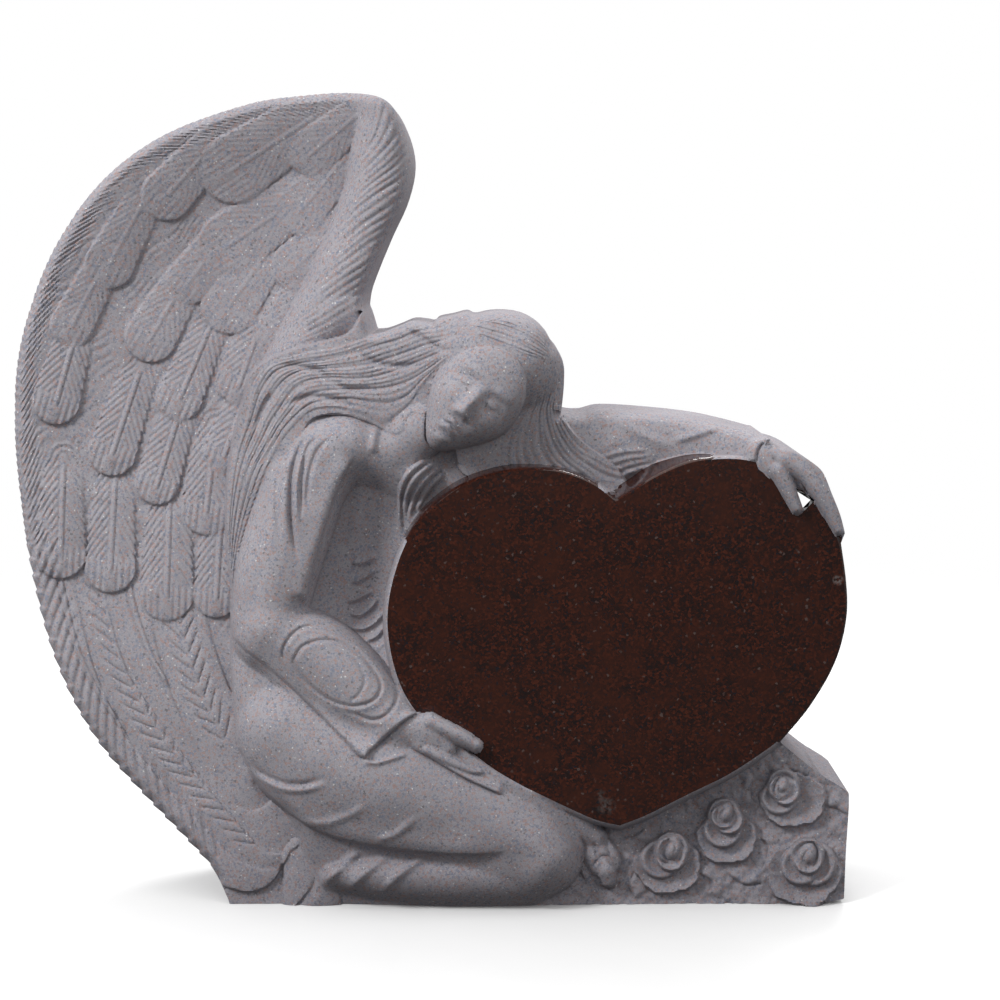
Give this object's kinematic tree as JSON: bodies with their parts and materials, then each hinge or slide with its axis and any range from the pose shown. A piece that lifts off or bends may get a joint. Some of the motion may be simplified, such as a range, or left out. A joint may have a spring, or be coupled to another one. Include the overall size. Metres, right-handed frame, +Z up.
{
  "type": "granite angel and heart memorial",
  "caption": "Granite memorial carved from one block: a winged figure kneels and leans over a polished heart, with roses at its foot.",
  "frame": {"origin": "middle of the underside of the bounding box, on the ground", "axes": "+X to the viewer's right along the monument's width, +Y from the carved front to the flat back, +Z up"},
  "size_m": [1.074, 0.269, 1.0338],
  "materials": {
    "carved_granite": "unpolished granite, grey with red and blue specks, matt",
    "polished_granite": "the same granite polished to a dark red-brown mirror on the heart"
  },
  "bodies": {
    "root": {"angel_monument": "carved_granite"}
  },
  "joints": []
}
